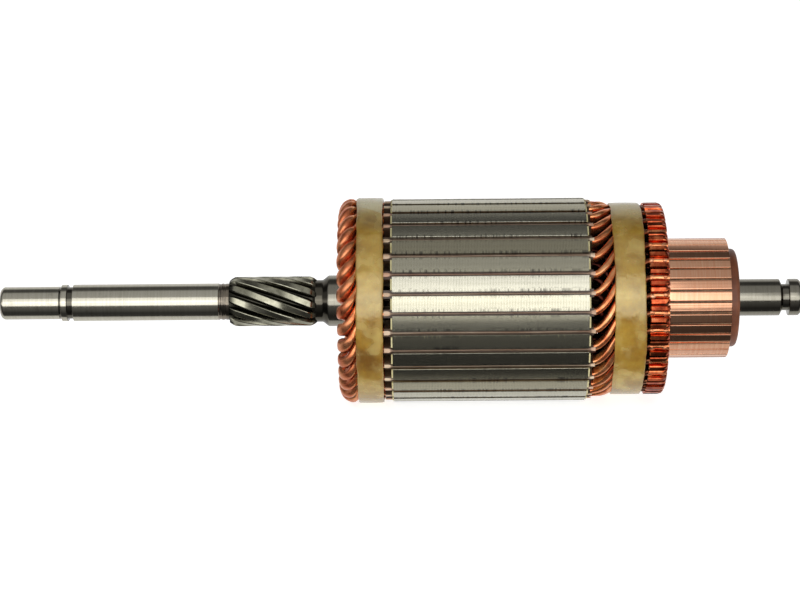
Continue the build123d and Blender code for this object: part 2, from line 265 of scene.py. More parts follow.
def drive_end_leg(angle, direction, radius, turn, nose_angle):
    reach = COIL_SWEEP - nose_angle
    slant = NOSE_START - DRIVE_CORNER

    def at(share, level):
        return (-DRIVE_CORNER - slant * share, angle + direction * reach * share, level, turn)

    return [
        (-DRIVE_CORNER + 2.2, angle, radius, turn),
        (-DRIVE_CORNER + 0.7, angle + direction * reach * 0.006, radius, turn),
        at(0.12, radius),
        at(0.36, radius),
        at(0.64, radius),
        at(0.9, radius + (NOSE_RISE * 0.12 if direction > 0 else 0.0)),
    ]


NOSE_ANGLE = 8.0
NOSE_SPREAD = 0.85  # share by which the bar is squeezed wider where it is bent over


def nose_stations(angle, bulge):
    """Stations of the bulging bend at the drive end."""
    rise = NOSE_RISE + bulge
    radius = (UPPER_RADIUS - LOWER_RADIUS + rise) / 2
    middle = (UPPER_RADIUS + LOWER_RADIUS + rise) / 2
    stations = []
    for turn in (20, 50, 90, 130, 160):
        depth = math.sin(math.radians(turn))
        height = math.cos(math.radians(turn))
        side = math.copysign(NOSE_ANGLE * (1 - depth), -height)
        stations.append((-NOSE_START - radius * depth, angle + side, middle + radius * height, turn))
    return stations


def hairpin_rows(angle):
    """Places along a hairpin, as (x, angle, radius, turn), with the slight unevenness of handwork."""
    sway = random.uniform(-0.35, 0.35)
    lift = random.uniform(-0.08, 0.1)
    bulge = random.uniform(-0.2, 0.1)
    lower = angle + 2 * COIL_SWEEP
    stations = commutator_end_leg(angle, UPPER_SWEEP, UPPER_RADIUS, 0)[::-1]
    stations += drive_end_leg(angle, 1, UPPER_RADIUS, 0, NOSE_ANGLE)
    first_nose = len(stations)
    stations += nose_stations(angle + COIL_SWEEP + sway, bulge)
    last_nose = len(stations)
    stations += drive_end_leg(lower, -1, LOWER_RADIUS, 180, NOSE_ANGLE)[::-1]
    stations += commutator_end_leg(lower, LOWER_SWEEP, LOWER_RADIUS, 180)
    arc = math.radians(1) * UPPER_RADIUS
    flat = [(x, turned * arc, level, turn) for x, turned, level, turn in stations]
    steps = []
    for index in range(len(flat) - 1):
        in_nose = first_nose - 1 <= index < last_nose
        long_run = math.dist(flat[index][:2], flat[index + 1][:2]) > 20
        steps.append(1 if long_run else 4 if in_nose else 3)
    rows = []
    for x, along, level, turn in curve_through(flat, steps):
        bump = math.exp(-((x + NOSE_START) / 4.0) ** 2)
        rows.append((x, along / arc, level + lift * bump * 0.5, turn))
    return rows


def sweep_bar(rows, profile):
    """Sections of a bar that follow rows of (x, angle, radius, turn)."""
    middles = [Vector((x, 0, 0)) + radial(angle) * radius for x, angle, radius, _ in rows]
    sections = []
    for index, (x, angle, radius, turn) in enumerate(rows):
        before = middles[max(index - 1, 0)]
        after = middles[min(index + 1, len(rows) - 1)]
        along = (after - before).normalized()
        tilt = math.radians(turn)
        spread = 1 + NOSE_SPREAD * max(math.sin(tilt), 0.0)
        outward = radial(angle) * math.cos(tilt) - Vector((1, 0, 0)) * math.sin(tilt)
        across = outward.cross(along).normalized()
        up = along.cross(across).normalized()
        sections.append([middles[index] + across * p.x * spread + up * p.y for p in profile])
    return sections


def make_hairpins(material):
    profile = rounded_rectangle(BAR_WIDTH, BAR_HEIGHT, 0.92, 3)
    for number in range(SLOTS):
        builder = Builder()
        builder.sweep(sweep_bar(hairpin_rows(TOP + number * PITCH), profile))
        name = f"hairpin_bar_{number + 1:02d}"
        node = f"hairpin_{number + 1:02d}"
        make_piece(name, builder.points, builder.faces, material, [node], 40)


# Core

SHEETS = 128
SHEET_PITCH = 2 * CORE_END / SHEETS
EDGE_TOP = CORE_RADIUS + 0.06
EDGE_VALLEY = CORE_RADIUS - 0.03
EDGE_BASE = CORE_RADIUS - 0.35


def make_sheet_edges(material):
    """The teeth's outer skins, with a fine groove between each two lamination sheets."""
    builder = Builder()
    half = PITCH / 2 - math.degrees(SLOT_OPENING / 2 / CORE_RADIUS)
    edge = math.degrees(0.16 / CORE_RADIUS)
    spread = ((-half, 0.14), (-half + edge, 0.0), (0.0, 0.0), (half - edge, 0.0), (half, 0.14))
    stations = [(-CORE_END, EDGE_TOP - 0.02)]
    for sheet in range(SHEETS):
        start = -CORE_END + sheet * SHEET_PITCH
        lift = random.uniform(-0.014, 0.014)
        if sheet:
            stations.append((start, EDGE_VALLEY))
        stations.append((start + 0.11 * SHEET_PITCH, EDGE_TOP + lift))
        stations.append((start + 0.84 * SHEET_PITCH, EDGE_TOP + lift))
    stations.append((CORE_END, EDGE_TOP - 0.02))
    for tooth in range(SLOTS):
        middle = TOP + (tooth + 0.5) * PITCH
        columns = []
        for offset, drop in spread:
            ray = radial(middle + offset)
            columns.append([Vector((x, 0, 0)) + ray * (level - drop) for x, level in stations])
        rings = [builder.ring(column) for column in columns]
        for first, second in zip(rings, rings[1:]):
            builder.bridge(first, second, closed=False)
        base = []
        for offset in (-half, half):
            ray = radial(middle + offset)
            base.append(builder.ring([
                Vector((-CORE_END, 0, 0)) + ray * EDGE_BASE,
                Vector((CORE_END, 0, 0)) + ray * EDGE_BASE,
            ]))
        low, high = base
        builder.faces.append(tuple([low[0], low[1]] + rings[0][::-1]))
        builder.faces.append(tuple([high[1], high[0]] + rings[-1]))
        builder.faces.append((low[1], low[0], high[0], high[1]))
        builder.faces.append(tuple([low[0]] + [ring[0] for ring in rings] + [high[0]]))
        builder.faces.append(tuple([high[1]] + [ring[-1] for ring in reversed(rings)] + [low[1]]))
    make_piece("core_sheet_edges", builder.points, builder.faces, material, crease=30)


SEAM_TAB_DRIVE = 2.3
SEAM_TAB_COMMUTATOR = 1.6


def make_slot_seams(material):
    """The folded edge of each slot's paper, which stands in the slot's opening."""
    builder = Builder()
    sections = 48
    length = 2 * DISC_FACE + SEAM_TAB_DRIVE + SEAM_TAB_COMMUTATOR
    for slot in range(SLOTS):
        lean = random.uniform(-0.12, 0.12)
        width = random.uniform(0.38, 0.6)
        height = random.uniform(0.22, 0.42)
        tab = random.uniform(1.25, 1.6)
        phase = random.uniform(0, 6.28)
        ray = radial(TOP + slot * PITCH)
        side = radial(TOP + slot * PITCH + 90)
        rows = []
        for step in range(sections + 1):
            share = step / sections
            x = -DISC_FACE - SEAM_TAB_DRIVE + share * length
            shift = lean + 0.06 * math.sin(phase + 9 * share)
            top = LINER_TOP + height + 0.04 * math.sin(phase * 2 + 23 * share)
            outside = min(max((abs(x) - DISC_FACE + 0.3) / 0.8, 0.0), 1.0)
            half = (width + (tab - width) * outside) / 2
            profile = (
                (-half, LINER_TOP - 0.1), (-half, top - 0.16), (-half * 0.5, top),
                (half * 0.5, top), (half, top - 0.16), (half, LINER_TOP - 0.1),
            )
            rows.append([Vector((x, 0, 0)) + side * (shift + a) + ray * b for a, b in profile])
        builder.sweep(rows)
    make_piece("slot_paper_seams", builder.points, builder.faces, material, crease=50)


# Bands

def ripple(*seeds):
    """Smooth closed noise round the axis, from a few waves."""
    waves = [(k, random.uniform(0.4, 1.0) / math.sqrt(k), random.uniform(0, 6.28)) for k in seeds]
    total = sum(weight for _, weight, _ in waves)

    def value(angle):
        turn = math.radians(angle)
        return sum(w * math.sin(k * turn + p) for k, w, p in waves) / total

    return value


def make_band(name, start, end, bore, outer, edge_play, surface_play, material, nodes):
    """Resin-soaked tape: its edges wander, and its skin sinks slightly between the conductors."""
    builder = Builder()
    left = ripple(2, 3, 7, 13, 21, 33, 57)
    right = ripple(2, 4, 5, 11, 19, 33, 61)
    skin = ripple(3, 5, 9, 14, 33, 33, 66)
    length = end - start

    def wobble(x, angle, radius):
        share = (x - start) / length
        shift = left(angle) * (1 - share) + right(angle) * share
        lean = skin(angle + 6 * share) if radius > bore + 0.1 else 0.0
        return Vector((shift * edge_play, 0, 0)) + radial(angle) * lean * surface_play

    edge = min(0.5, (outer - bore) * 0.45)
    corners = [
        (start + 0.15, bore, 0), (start, bore + 0.12, 0.1), (start, outer - edge * 0.7, 0.25),
        (start + edge, outer - 0.06, 0.45), (start + length * 0.35, outer, 0),
        (start + length * 0.65, outer, 0), (end - edge, outer - 0.06, 0.45),
        (end, outer - edge * 0.7, 0.25), (end, bore + 0.12, 0.1), (end - 0.15, bore, 0),
    ]
    profile = rounded_profile(corners, 3)
    rings = lathe(builder, profile, 264, wobble)
    builder.bridge(rings[-1], rings[0])
    make_piece(name, builder.points, builder.faces, material, nodes, 60)


# Commutator

def sector_outline(bottom, top, trim, corner):
    """Section of a bar between two gaps as (side, up) points, its outer corners rounded."""
    tilt = math.radians(PITCH / 2)
    half_gap = BAR_GAP / 2 / math.cos(tilt) + trim
    low = bottom * math.tan(tilt) - half_gap
    high = top * math.tan(tilt) - half_gap
    return [
        (-low, bottom), (low, bottom), (high, top - corner), (high - corner * 0.35, top - corner * 0.3),
        (high - corner, top), (-high + corner, top), (-high + corner * 0.35, top - corner * 0.3),
        (-high, top - corner),
    ]


def track_outline(inset):
    """Section of a bar's track, its face rounded to the commutator's radius."""
    outline = sector_outline(BAR_ROOT, BAR_RADIUS - inset, inset * 0.5, 0.22)
    right, left = outline[4], outline[5]
    face = []
    for step in range(1, 6):
        side = right[0] + (left[0] - right[0]) * step / 6
        face.append((side, math.sqrt((BAR_RADIUS - inset) ** 2 - side ** 2)))
    return outline[:5] + face + outline[5:]


def placed(points, x, angle):
    ray = radial(angle)
    side = radial(angle + 90)
    return [Vector((x, 0, 0)) + side * a + ray * b for a, b in points]


def make_commutator(material):
    """Bars with turned tracks, their risers' two walls, and the rounded rims of both."""
    builder = Builder()
    slot_half = BAR_WIDTH / 2 + 0.05
    slot_floor = LOWER_RADIUS - LEG_DROP - BAR_HEIGHT / 2 - 0.05
    tilt = math.radians(PITCH / 2)
    half_gap = BAR_GAP / 2 / math.cos(tilt)
    for bar in range(SLOTS):
        angle = TOP + BAR_PHASE + bar * PITCH
        track = []
        for x, inset in (
            (RISER_FACE + 0.4, 0.0), (BAR_END - 0.3, 0.0), (BAR_END - 0.08, 0.08), (BAR_END, 0.3),
        ):
            track.append(placed(track_outline(inset), x, angle))
        builder.sweep(track)
        foot = BAR_RADIUS * 0.9
        low = foot * math.tan(tilt) - half_gap
        high = slot_floor * math.tan(tilt) - half_gap
        outline = [(-low, foot), (low, foot), (high, slot_floor), (-high, slot_floor)]
        builder.sweep([placed(outline, x, angle) for x in (RISER_FACE, RISER_END)])
        for hand in (1, -1):
            height = random.uniform(-0.12, 0.08)
            lean = random.uniform(-0.05, 0.05)
            sections = []
            for x, drop, trim in (
                (RISER_FACE, 0.25, 0.08), (RISER_FACE + 0.25, 0.03, 0.0), (RISER_END - 1.9, 0.0, 0.0),
                (RISER_END - 0.9, 0.3, 0.0), (RISER_END - 0.3, 0.95, 0.03), (RISER_END, 1.9, 0.12),
            ):
                top = RISER_RADIUS - drop + height
                inner = slot_half + trim
                rim = top * math.tan(tilt) - half_gap - trim
                outline = [
                    (inner, slot_floor - 0.2), (high, slot_floor - 0.2), (rim, top - 0.3),
                    (rim - 0.25, top), (inner + 0.2 + lean, top), (inner, top - 0.25),
                ]
                if hand < 0:
                    outline = [(-a, b) for a, b in reversed(outline)]
                sections.append(placed(outline, x, angle))
            builder.sweep(sections)
    make_piece("commutator_copper", builder.points, builder.faces, material,
               ["commutator_bars"], 38)


def make_solder(material):
    """Small uneven beads where the conductors are joined into the risers."""
    builder = Builder()
    level = UPPER_RADIUS - LEG_DROP + BAR_HEIGHT / 2
    for bar in range(SLOTS):
        angle = TOP + BAR_PHASE + bar * PITCH
        for start, end in ((RISER_FACE - 0.15, RISER_FACE + 1.5), (RISER_END - 2.6, RISER_END - 0.5)):
            size = random.uniform(0.5, 1.0)
            swell = random.uniform(0.16, 0.42)
            shift = random.uniform(-0.3, 0.3)
            sections = []
            for step in range(7):
                share = step / 6
                bulge = math.sin(math.pi * min(max(share, 0.06), 0.94))
                x = start + (end - start) * share
                half = (0.35 + 0.55 * bulge) * size + 0.2
                top = level - 0.1 + swell * bulge
                outline = []
                for turn in range(0, 181, 30):
                    lift = max(math.sin(math.radians(turn)), 0.0)
                    across = shift + half * math.cos(math.radians(turn))
                    outline.append((across, level - 0.35 + (top - level + 0.35) * lift))
                sections.append(placed(outline, x, angle))
            builder.sweep(sections)
    make_piece("riser_solder", builder.points, builder.faces, material, crease=60)


def make_hub(material):
    builder = Builder()
    profile = rounded_profile([
        (RISER_FACE + 0.5, HUB_BORE, 0), (RISER_FACE + 0.5, HUB_SEAT, 0), (BAR_END + 0.03, HUB_SEAT, 0),
        (BAR_END + 0.03, HUB_RADIUS, 0.15), (HUB_FACE, HUB_RADIUS, 1.7), (HUB_FACE, HUB_BORE, 0.25),
        (HUB_FACE - 1.0, HUB_BORE, 0),
    ], 6)
    rings = lathe(builder, profile, 120)
    builder.bridge(rings[-1], rings[0])
    make_piece("commutator_hub", builder.points, builder.faces, material,
               ["commutator_moulding"], 40)


# Shaft

SPLINE_START = -87.875
SPLINE_END = -58.175
SPLINE_TEETH = 12
SPLINE_RADIUS = 8.375
SPLINE_ROOT = 6.9
SPLINE_LEAD = 132.0
SPLINE_PHASE = 12.0


def make_shaft(material):
    builder = Builder()
    profile = rounded_profile([
        (-165.775, 0, 0), (-165.775, 4.75, 0.15), (-164.875, 5.585, 0.5), (-145.775, 5.585, 0),
        (-145.775, 5.1, 0.1), (-145.075, 5.1, 0.1), (-145.075, 6.24, 0.2), (-142.975, 6.24, 0.2),
        (-142.975, 5.4, 0.1), (-141.175, 5.4, 0.1), (-141.175, 6.25, 0.25), (-91.5, 6.25, 0.1),
        (-91.3, 6.05, 0.1), (-90.7, 6.05, 0.1), (-90.5, 6.22, 0.1), (-89.9, 6.22, 0.1),
        (-89.7, 6.1, 0.1), (-89.2, 6.1, 0.1), (-89.0, 6.2, 0.1), (-87.5, 6.2, 0),
        (-87.5, 6.0, 0), (-58.6, 6.0, 0), (-58.6, 7.15, 0), (-56.175, 7.15, 0.4),
        (-54.175, 8.7, 0.4), (52.0, 8.7, 0), (52.0, 7.45, 0), (83.0, 7.45, 0), (83.0, 6.25, 0),
        (98.6, 6.25, 0.2), (99.5, 4.5, 0.2), (101.6, 4.5, 0.1), (101.6, 6.24, 0.25),
        (105.0, 6.24, 0.45), (105.8, 5.44, 0.2), (105.8, 0, 0),
    ], 4)
    lathe(builder, profile, 96)
    make_piece("shaft_body", builder.points, builder.faces, material, ["shaft"], 30)


def make_spline(material):
    """Helical teeth with rounded crests and chamfered ends."""
    builder = Builder()
    steps = 48
    sections = []
    for step in range(steps + 1):
        share = step / steps
        x = SPLINE_START + (SPLINE_END - SPLINE_START) * share
        end = min(share, 1 - share) * (SPLINE_END - SPLINE_START)
        crest = SPLINE_ROOT + 0.25 + (SPLINE_RADIUS - SPLINE_ROOT - 0.25) * min(1.0, end / 2.1) ** 0.75
        slim = 1 - 0.35 * (1 - min(1.0, end / 2.6))
        twist = SPLINE_PHASE + 360 * (x - SPLINE_START) / SPLINE_LEAD
        section = []
        for tooth in range(SPLINE_TEETH):
            angle = twist + 360 / SPLINE_TEETH * tooth
            ray = radial(angle)
            side = radial(angle + 90)
            for half, level in (
                (-1.6, SPLINE_ROOT - 0.25), (-1.38, SPLINE_ROOT + 0.12), (-1.18, crest - 0.18),
                (-0.98, crest), (0.98, crest), (1.18, crest - 0.18), (1.38, SPLINE_ROOT + 0.12),
                (1.6, SPLINE_ROOT - 0.25),
            ):
                level = min(level, crest)
                section.append(Vector((x, 0, 0)) + side * half * slim + ray * level)
        sections.append(section)
    builder.sweep(sections)
    make_piece("shaft_spline", builder.points, builder.faces, material, ["shaft"], 30)


# Materials

class Nodes:
    """Short calls for a material's node tree."""

    def __init__(self, name):
        self.material = bpy.data.materials.new(name)
        self.material.use_nodes = True
        self.tree = self.material.node_tree
        self.shader = self.tree.nodes["Principled BSDF"]
        self.coords = self.tree.nodes.new("ShaderNodeTexCoord").outputs["Object"]

    def node(self, kind, inputs=(), **settings):
        node = self.tree.nodes.new(kind)
        for key, value in settings.items():
            setattr(node, key, value)
        for key, value in inputs:
            if isinstance(value, bpy.types.NodeSocket):
                self.tree.links.new(value, node.inputs[key])
            else:
                node.inputs[key].default_value = value
        return node

    def math(self, operation, first, second=0.0):
        node = self.node("ShaderNodeMath", [(0, first), (1, second)], operation=operation)
        return node.outputs[0]

    def noise(self, scale, detail=3.0, rough=0.5, stretch=(1, 1, 1), distortion=0.0):
        mapping = self.node("ShaderNodeMapping", [("Vector", self.coords), ("Scale", stretch)])
        noise = self.node("ShaderNodeTexNoise", [
            ("Vector", mapping.outputs[0]), ("Scale", scale), ("Detail", detail),
            ("Roughness", rough), ("Distortion", distortion),
        ])
        return noise.outputs["Fac"]

    def ramp(self, factor, stops):
        node = self.node("ShaderNodeValToRGB", [("Fac", factor)])
        elements = node.color_ramp.elements
        while len(elements) < len(stops):
            elements.new(0.5)
        for element, (position, color) in zip(elements, stops):
            element.position = position
            element.color = (*color, 1.0)
        return node.outputs["Color"]

    def mix(self, factor, first, second):
        node = self.node("ShaderNodeMix", data_type="RGBA")
        for index, value in ((0, factor), (6, first), (7, second)):
            if isinstance(value, bpy.types.NodeSocket):
                self.tree.links.new(value, node.inputs[index])
            elif index:
                node.inputs[index].default_value = (*value, 1.0)
            else:
                node.inputs[index].default_value = value
        return node.outputs[2]

    def remap(self, value, low, high, new_low, new_high):
        node = self.node("ShaderNodeMapRange", [
            ("Value", value), ("From Min", low), ("From Max", high),
            ("To Min", new_low), ("To Max", new_high),
        ])
        return node.outputs["Result"]

    def within(self, value, start, end, soft):
        """1 between start and end, and 0 outside, with soft edges inside."""
        return self.math("MULTIPLY", self.remap(value, start, start + soft, 0.0, 1.0),
                         self.remap(value, end - soft, end, 1.0, 0.0))

    def cylinder(self):
        """Place along X and radius in millimetres, and turn about X in pitches."""
        x, y, z = self.place()
        square = self.math("ADD", self.math("MULTIPLY", y, y), self.math("MULTIPLY", z, z))
        radius = self.math("SQRT", square)
        turn = self.math("DIVIDE", self.math("ARCTAN2", z, y), math.radians(PITCH))
        return x, radius, turn

    def place(self):
        """Place on the object in millimetres, along X, Y and Z."""
        split = self.node("ShaderNodeSeparateXYZ", [("Vector", self.coords)]).outputs
        return [self.math("DIVIDE", split[axis], MM) for axis in range(3)]

    def per_pitch(self, turn, phase):
        """A value from 0 to 1 that stays the same over one pitch."""
        index = self.math("FLOOR", self.math("ADD", turn, phase))
        index = self.math("MODULO", self.math("ADD", index, 3 * SLOTS), SLOTS)
        return self.node("ShaderNodeTexWhiteNoise", [("W", index)], noise_dimensions="1D").outputs["Value"]

    def finish(self, color, roughness, metallic=0.0, bump=None, strength=0.2, distance=0.0001, **sockets):
        self.tree.links.new(color, self.shader.inputs["Base Color"])
        self.tree.links.new(roughness, self.shader.inputs["Roughness"])
        self.shader.inputs["Metallic"].default_value = metallic
        for key, value in sockets.items():
            self.shader.inputs[key.replace("_", " ")].default_value = value
        if bump:
            node = self.node("ShaderNodeBump", [
                ("Height", bump), ("Strength", strength), ("Distance", distance),
            ])
            self.tree.links.new(node.outputs[0], self.shader.inputs["Normal"])
        return self.material


NOSE_PAINT = (-46.5, -45.0)  # from here outwards the bends' own colours are at work
BEFORE_RISERS = (50.6, 52.5)  # the shaded gap between band and risers


def winding_copper():
    nodes = Nodes("winding_copper")
    x, radius, _ = nodes.cylinder()
    patches = nodes.noise(260, 5, 0.6)
    color = nodes.ramp(patches, [
        (0.26, (0.46, 0.09, 0.035)), (0.42, (0.86, 0.26, 0.10)),
        (0.58, (0.96, 0.40, 0.17)), (0.78, (1.0, 0.60, 0.32)),
    ])
    nose_color = nodes.ramp(patches, [(0.3, (0.56, 0.13, 0.055)), (0.7, (0.95, 0.38, 0.18))])
    color = nodes.mix(nodes.remap(x, *NOSE_PAINT, 0.85, 0.0), color, nose_color)
    # Painted shade: away from the drive end's bends, the copper is darkened almost to black the deeper it
    # lies inside the winding.
    depth = nodes.remap(radius, 28.4, UPPER_RADIUS, 1.0, 0.0)
    inside = nodes.remap(x, -46.5, -44.0, 0.0, 1.0)
    color = nodes.mix(nodes.math("MULTIPLY", depth, inside), color, (0.04, 0.008, 0.005))
    shaded = nodes.within(x, *BEFORE_RISERS, 0.3)
    color = nodes.mix(nodes.math("MULTIPLY", shaded, 0.8), color, (0.06, 0.015, 0.008))
    rough = nodes.remap(nodes.noise(900, 3), 0.3, 0.7, 0.14, 0.26)
    rough = nodes.math("ADD", rough, nodes.remap(inside, 0.0, 1.0, 0.12, 0.0))
    bump = nodes.noise(1500, 2, stretch=(0.5, 1, 1))
    return nodes.finish(color, rough, 0.93, bump, 0.1, 0.00008)


def core_steel():
    """Ground teeth, each with its own tint, and dark ticks of burred sheets along their edges."""
    nodes = Nodes("core_steel")
    x, _, turn = nodes.cylinder()
    tooth = nodes.per_pitch(turn, -TOP / PITCH)
    tint = nodes.ramp(tooth, [
        (0.0, (0.43, 0.40, 0.29)), (0.25, (0.55, 0.52, 0.39)),
        (0.7, (0.63, 0.605, 0.48)), (1.0, (0.69, 0.67, 0.56)),
    ])
    streaks = nodes.noise(120, 4, 0.6, stretch=(0.4, 6, 6))
    color = nodes.mix(nodes.remap(streaks, 0.35, 0.75, 0.0, 0.3), tint, (0.38, 0.36, 0.29))
    across = nodes.math("FRACT", nodes.math("ADD", turn, 3 * SLOTS - TOP / PITCH))
    lower = nodes.remap(across, 0.66, 0.84, 0.0, 1.0)
    upper = nodes.remap(across, 0.16, 0.26, 0.5, 0.0)
    shift = nodes.math("MULTIPLY", nodes.math("FLOOR", nodes.math("ADD", turn, 3 * SLOTS)), 7.0)
    sheet = nodes.math("ADD", nodes.math("FLOOR", nodes.math("DIVIDE", x, SHEET_PITCH)), shift)
    pick = nodes.node("ShaderNodeTexWhiteNoise", [("W", sheet)], noise_dimensions="1D").outputs["Value"]
    fade = nodes.remap(nodes.noise(60, 2), 0.4, 0.62, 0.3, 1.0)
    tick = nodes.math("MULTIPLY", nodes.remap(pick, 0.45, 0.9, 0.0, 0.75), fade)
    ticks = nodes.math("MULTIPLY", tick, nodes.math("MAXIMUM", lower, upper))
    color = nodes.mix(ticks, color, (0.10, 0.095, 0.08))
    rough = nodes.math("ADD", nodes.remap(streaks, 0.3, 0.7, 0.12, 0.17),
                       nodes.math("MULTIPLY", tooth, 0.07))
    return nodes.finish(color, rough, 1.0, streaks, 0.05, 0.00005)


# Grooves as (start, end, share): each groove is darkened by its share as painted shade.
SHAFT_GROOVES = ((-145.9, -145.0, 0.85), (-143.2, -141.1, 0.85), (99.4, 101.8, 0.45))
RUN_OUT = (-91.8, -79.0)
NECK_START = -59.5
COLLAR_START = -54.1
# Span of the shaft that lies under the winding, painted near-black as shade
UNDER_WINDING_SHADE = (-48.5, 52.5)


def shaft_steel():
    nodes = Nodes("shaft_steel")
    x, _, _ = nodes.cylinder()
    lines = nodes.noise(500, 2, 0.5, stretch=(3, 0.15, 0.15))
    color = nodes.ramp(lines, [(0.3, (0.58, 0.55, 0.45)), (0.7, (0.65, 0.62, 0.52))])
    patches = nodes.noise(300, 4, 0.6)
    color = nodes.mix(nodes.remap(patches, 0.58, 0.74, 0.0, 0.35), color, (0.36, 0.33, 0.26))
    rusty = nodes.ramp(patches, [(0.35, (0.05, 0.04, 0.03)), (0.65, (0.26, 0.21, 0.16))])
    run_out = nodes.within(x, *RUN_OUT, 0.6)
    color = nodes.mix(nodes.math("MULTIPLY", run_out, 0.85), color, rusty)
    neck = nodes.math("MULTIPLY", nodes.remap(x, NECK_START, NECK_START + 0.5, 0.0, 0.92),
                      nodes.remap(x, COLLAR_START - 0.4, COLLAR_START, 1.0, 0.6))
    color = nodes.mix(neck, color, (0.07, 0.062, 0.045))
    # Painted shade: the shaft under the winding is near-black.
    color = nodes.mix(nodes.within(x, *UNDER_WINDING_SHADE, 0.5), color, (0.02, 0.012, 0.008))
    # Painted shade in the grooves.
    for start, end, shade in SHAFT_GROOVES:
        inside = nodes.within(x, start, end, 0.2)
        color = nodes.mix(nodes.math("MULTIPLY", inside, shade), color, (0.06, 0.055, 0.04))
    rough = nodes.remap(nodes.noise(250, 3, stretch=(2.5, 0.3, 0.3)), 0.3, 0.7, 0.10, 0.17)
    return nodes.finish(color, rough, 1.0, lines, 0.03, 0.00003)


def spline_steel():
    nodes = Nodes("spline_steel")
    x, radius, _ = nodes.cylinder()
    patches = nodes.noise(420, 4, 0.6)
    color = nodes.ramp(patches, [(0.3, (0.27, 0.26, 0.19)), (0.7, (0.52, 0.505, 0.39))])
    # Painted shade: the spline is darkened towards the roots between its teeth.
    depth = nodes.remap(radius, 7.3, 8.2, 0.96, 0.0)
    color = nodes.mix(depth, color, (0.025, 0.023, 0.018))
    rough = nodes.remap(nodes.noise(700, 3), 0.3, 0.7, 0.15, 0.28)
    rough = nodes.math("MAXIMUM", rough, nodes.remap(x, SPLINE_END - 1.8, SPLINE_END - 1.0, 0.0, 0.8))
    return nodes.finish(color, rough, 1.0, patches, 0.08, 0.00005)


# The tape's end on the drive band lies where turn in degrees, less the slant per millimetre of X,
# falls below this value
TAPE_END = 149.7
TAPE_END_SLANT = 1.0227


def band_resin():
    nodes = Nodes("band_resin")
    x, _, z = nodes.place()
    cloud = nodes.noise(85, 5, 0.6)
    color = nodes.ramp(cloud, [
        (0.30, (0.18, 0.072, 0.006)), (0.45, (0.34, 0.175, 0.015)),
        (0.58, (0.45, 0.265, 0.030)), (0.75, (0.56, 0.38, 0.08)),
    ])
    # Painted light and shade: each band is paler towards the top and darker towards the bottom.
    color = nodes.mix(nodes.remap(z, 27, 34, 0.0, 0.5), color, (0.58, 0.53, 0.30))
    color = nodes.mix(nodes.remap(z, -6, -26, 0.0, 0.6), color, (0.16, 0.095, 0.026))
    glaze = nodes.noise(150, 2, 0.5, distortion=0.3)
    color = nodes.mix(nodes.remap(glaze, 0.48, 0.72, 0.0, 0.45), color, (0.68, 0.53, 0.18))
    angle = nodes.math("MULTIPLY", nodes.cylinder()[2], PITCH)
    slant = nodes.math("SUBTRACT", angle, nodes.math("MULTIPLY", x, TAPE_END_SLANT))
    inside = nodes.math("MULTIPLY", nodes.remap(slant, TAPE_END - 0.5, TAPE_END + 0.3, 1.0, 0.0),
                        nodes.remap(angle, 54, 56, 0.0, 0.6))
    tape_end = nodes.math("MULTIPLY", inside, nodes.remap(x, -30, -31, 0.0, 1.0))
    color = nodes.mix(tape_end, color, (0.60, 0.56, 0.36))
    for start, end in (DRIVE_BAND, COMMUTATOR_BAND):
        rim = nodes.math("MAXIMUM", nodes.remap(x, start, start + 1.6, 1.0, 0.0),
                         nodes.remap(x, end - 1.2, end, 0.0, 1.0))
        rim = nodes.math("MULTIPLY", rim, nodes.within(x, start - 1.0, end + 1.0, 0.4))
        worn = nodes.math("MULTIPLY", rim, nodes.remap(cloud, 0.3, 0.65, 0.75, 0.15))
        color = nodes.mix(worn, color, (0.22, 0.10, 0.03))
    tape = nodes.noise(700, 2, 0.5, stretch=(4, 0.5, 0.5))
    color = nodes.mix(nodes.remap(tape, 0.5, 0.75, 0.0, 0.25), color, (0.26, 0.16, 0.04))
    rough = nodes.remap(glaze, 0.35, 0.65, 0.12, 0.32)
    bump = nodes.math("ADD", nodes.noise(220, 3, 0.5), nodes.math("MULTIPLY", tape, 0.2))
    return nodes.finish(color, rough, 0.0, bump, 0.6, 0.0003, Coat_Weight=0.35, Coat_Roughness=0.1,
                        Coat_IOR=1.5, Subsurface_Weight=0.1, Subsurface_Scale=0.0015, IOR=2.4,
                        Specular_Tint=(1.0, 0.93, 0.55, 1.0))


def commutator_copper():
    """Pale turned copper on the track, and darker copper, coloured by heat, on the risers."""
    nodes = Nodes("commutator_copper")
    _, radius, turn = nodes.cylinder()
    lines = nodes.noise(700, 2, 0.5, stretch=(3, 0.15, 0.15))
    color = nodes.ramp(lines, [(0.3, (0.91, 0.45, 0.26)), (0.7, (0.96, 0.55, 0.35))])
    bar = nodes.per_pitch(turn, -(TOP + BAR_PHASE) / PITCH + 0.5)
    color = nodes.mix(nodes.remap(bar, 0.0, 1.0, 0.0, 0.35), color, (0.62, 0.28, 0.17))
    heat = nodes.ramp(nodes.noise(330, 4, 0.6), [
        (0.3, (0.16, 0.025, 0.010)), (0.48, (0.55, 0.10, 0.035)),
        (0.60, (0.82, 0.22, 0.08)), (0.78, (0.95, 0.50, 0.26)),
    ])
    heat = nodes.mix(nodes.remap(bar, 0.3, 1.0, 0.0, 0.55), heat, (0.42, 0.07, 0.03))
    color = nodes.mix(nodes.remap(radius, 20.4, 24.0, 0.0, 1.0), color, heat)
    dent = nodes.noise(300, 3)
    rough = nodes.remap(dent, 0.3, 0.7, 0.10, 0.20)
    return nodes.finish(color, rough, 1.0, dent, 0.05, 0.0001)


def solder_metal():
    nodes = Nodes("riser_solder")
    patches = nodes.noise(700, 4, 0.6)
    color = nodes.ramp(patches, [
        (0.3, (0.46, 0.11, 0.04)), (0.55, (0.84, 0.34, 0.16)), (0.78, (0.93, 0.66, 0.42)),
    ])
    rough = nodes.remap(patches, 0.3, 0.7, 0.2, 0.38)
    return nodes.finish(color, rough, 0.85, patches, 0.2, 0.0001)


